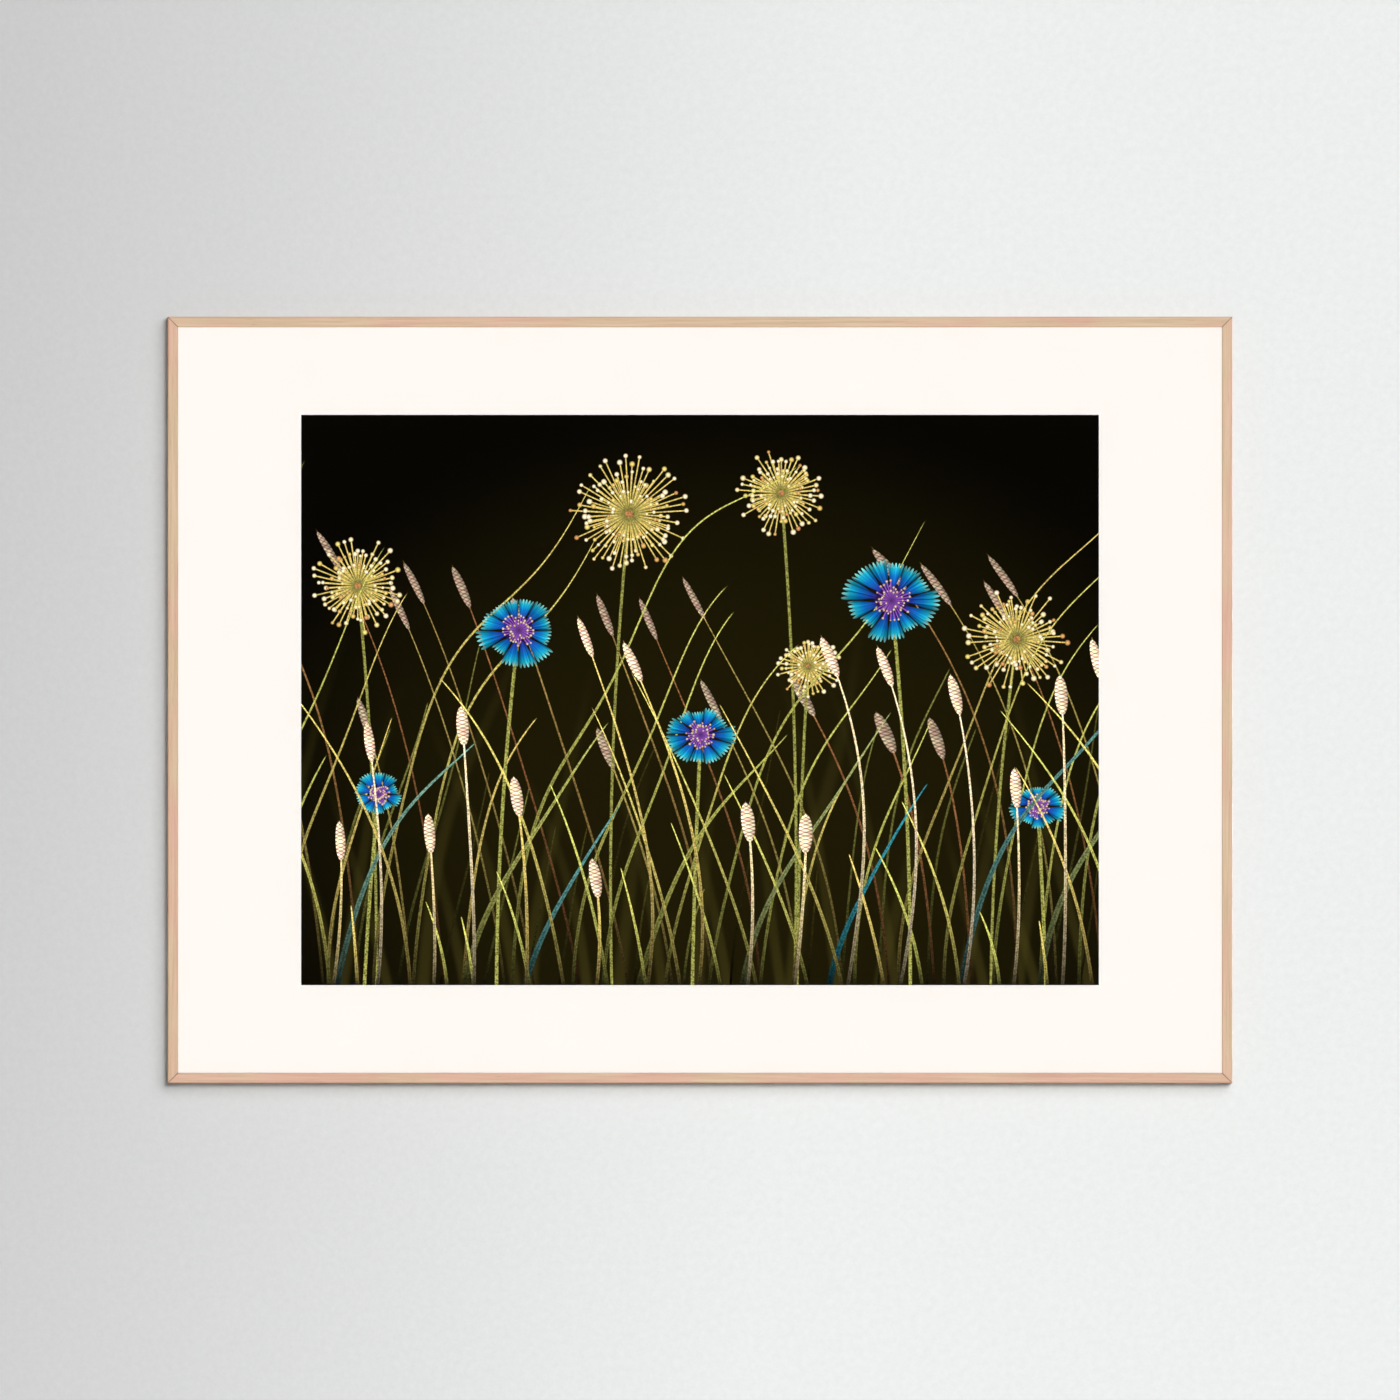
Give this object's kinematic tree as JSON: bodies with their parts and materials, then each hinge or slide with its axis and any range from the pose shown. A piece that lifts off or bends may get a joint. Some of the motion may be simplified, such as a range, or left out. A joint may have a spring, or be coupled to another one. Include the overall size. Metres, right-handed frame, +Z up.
{
  "type": "framed print",
  "caption": "Slim pale wooden picture frame in landscape format, with a clear pane, a wide bevel-cut mat, a dark print and saw-tooth hangers on its backing board.",
  "frame": {"origin": "on the wall plane at hanging height, midway between the two hangers; the middle of the picture is 212 mm below it", "axes": "+X along the picture's width, +Y into the wall (the picture faces -Y), +Z up"},
  "size_m": [0.714, 0.02, 0.514],
  "materials": {
    "pale_wood": "matt oiled, fine straight grain along each rail",
    "clear_pane": "clear, low reflection",
    "warm_white_mat": "fine matt paper face with a white core in the bevel",
    "dark_print": "satin photo paper, warm near-black ground with fine gold and green strokes",
    "brown_hardboard": "raw fibreboard",
    "zinc_plated_steel": "satin zinc plating"
  },
  "bodies": {
    "root": {"rail_top": "pale_wood", "rail_bottom": "pale_wood", "rail_left": "pale_wood", "rail_right": "pale_wood", "glazing": "clear_pane", "mat_board": "warm_white_mat", "print_sheet": "dark_print", "backing_board": "brown_hardboard", "point_bottom_1": "zinc_plated_steel", "point_bottom_2": "zinc_plated_steel", "point_bottom_3": "zinc_plated_steel", "point_bottom_4": "zinc_plated_steel", "point_top_1": "zinc_plated_steel", "point_top_2": "zinc_plated_steel", "point_top_3": "zinc_plated_steel", "point_top_4": "zinc_plated_steel", "point_left_1": "zinc_plated_steel", "point_left_2": "zinc_plated_steel", "point_left_3": "zinc_plated_steel", "point_right_1": "zinc_plated_steel", "point_right_2": "zinc_plated_steel", "point_right_3": "zinc_plated_steel", "hanger_left": "zinc_plated_steel", "hanger_right": "zinc_plated_steel", "rivet_left_left": "zinc_plated_steel", "rivet_left_right": "zinc_plated_steel", "rivet_right_left": "zinc_plated_steel", "rivet_right_right": "zinc_plated_steel"}
  },
  "joints": []
}
